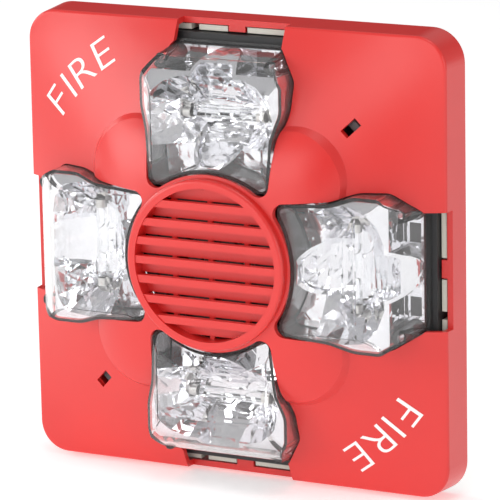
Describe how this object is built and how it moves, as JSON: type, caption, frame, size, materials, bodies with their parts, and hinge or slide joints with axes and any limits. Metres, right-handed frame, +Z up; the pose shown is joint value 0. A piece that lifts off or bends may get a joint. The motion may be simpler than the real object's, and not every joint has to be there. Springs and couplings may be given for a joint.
{
  "type": "horn strobe",
  "caption": "Square wall or ceiling horn strobe: red domed cover, round slotted horn grille and clear flash lenses round it on a mounting plate.",
  "frame": {"origin": "centre of the mounting plate's back face, on the wall", "axes": "-Y points out of the wall into the room, +Z is up and +X is to the right as seen from the room"},
  "size_m": [0.1536, 0.0355, 0.1536],
  "materials": {
    "ivory_plastic": "fine texture",
    "black_plastic": "fine texture",
    "red_plastic": "satin moulded, fine texture",
    "grey_plastic": "smooth moulded",
    "white_plastic": "smooth moulded",
    "clear_plastic": "polished polycarbonate",
    "bright_reflector": "vacuum-metallised plastic",
    "tube_glass": "drawn glass",
    "zinc_steel": "zinc plated",
    "tinned_metal": "tinned",
    "circuit_board": "solder mask",
    "foam": "closed-cell foam",
    "brass_sheet": "rolled sheet",
    "ceramic": "silvered ceramic",
    "copper_winding": "enamelled wire",
    "ferrite": "sintered ferrite",
    "capacitor_sleeve": "printed sleeve on a can",
    "coil_winding": "varnished winding"
  },
  "bodies": {
    "plate": {"mounting_plate": "ivory_plastic", "terminal_block": "black_plastic", "terminal_clamps": "zinc_steel", "terminal_screws": "zinc_steel"},
    "head": {"chassis": "black_plastic", "chassis_screws": "zinc_steel", "main_board": "circuit_board", "board_screws": "zinc_steel", "control_chips": "black_plastic", "contact_springs": "tinned_metal", "horn_chamber": "black_plastic", "horn_screws": "zinc_steel", "horn_cap": "black_plastic", "horn_gasket": "foam", "diaphragm_plate": "brass_sheet", "piezo_ceramic": "ceramic", "horn_contact_pins": "tinned_metal", "brightness_switch": "black_plastic", "tone_switch": "black_plastic", "transformer_core": "ferrite", "transformer_winding": "copper_winding", "choke": "black_plastic", "power_transistor": "black_plastic", "input_capacitor": "capacitor_sleeve", "lens_top": "clear_plastic", "reflector_top": "bright_reflector", "flash_tube_top": "tube_glass", "tube_leads_top": "tinned_metal", "lens_right": "clear_plastic", "reflector_right": "bright_reflector", "flash_tube_right": "tube_glass", "tube_leads_right": "tinned_metal", "lens_bottom": "clear_plastic", "reflector_bottom": "bright_reflector", "flash_tube_bottom": "tube_glass", "tube_leads_bottom": "tinned_metal", "lens_left": "clear_plastic", "reflector_left": "bright_reflector", "flash_tube_left": "tube_glass", "tube_leads_left": "tinned_metal", "flash_capacitor_upper_right": "capacitor_sleeve", "trigger_coil_upper_right": "coil_winding", "flash_capacitor_lower_right": "capacitor_sleeve", "trigger_coil_lower_right": "coil_winding", "flash_capacitor_lower_left": "capacitor_sleeve", "trigger_coil_lower_left": "coil_winding", "flash_capacitor_upper_left": "capacitor_sleeve", "trigger_coil_upper_left": "coil_winding"},
    "cover": {"front_cover": "red_plastic"},
    "upper_latch": {"latch_upper": "grey_plastic"},
    "lower_latch": {"latch_lower": "grey_plastic"},
    "brightness": {"brightness_knob": "white_plastic"},
    "tone_1": {"tone_slider_1": "white_plastic"},
    "tone_2": {"tone_slider_2": "white_plastic"},
    "tone_3": {"tone_slider_3": "white_plastic"}
  },
  "joints": [
    {"name": "chassis_lift", "type": "slide", "parent": "plate", "child": "head", "axis": [0, -1, 0], "range_m": [0, 0.03]},
    {"name": "cover_lift", "type": "slide", "parent": "head", "child": "cover", "axis": [0, -1, 0], "range_m": [0, 0.045]},
    {"name": "upper_latch_press", "type": "slide", "parent": "head", "child": "upper_latch", "axis": [-0.7071, 0, -0.7071], "range_m": [0, 0.0015], "stiffness_N_per_m": 800, "springref_m": -0.001},
    {"name": "lower_latch_press", "type": "slide", "parent": "head", "child": "lower_latch", "axis": [0.7071, 0, 0.7071], "range_m": [0, 0.0015], "stiffness_N_per_m": 800, "springref_m": -0.001},
    {"name": "brightness_slide", "type": "slide", "parent": "head", "child": "brightness", "axis": [1, 0, 0], "range_m": [0, 0.006]},
    {"name": "tone_slide_1", "type": "slide", "parent": "head", "child": "tone_1", "axis": [0, 0, 1], "range_m": [0, 0.0016]},
    {"name": "tone_slide_2", "type": "slide", "parent": "head", "child": "tone_2", "axis": [0, 0, 1], "range_m": [0, 0.0016]},
    {"name": "tone_slide_3", "type": "slide", "parent": "head", "child": "tone_3", "axis": [0, 0, 1], "range_m": [0, 0.0016]}
  ]
}
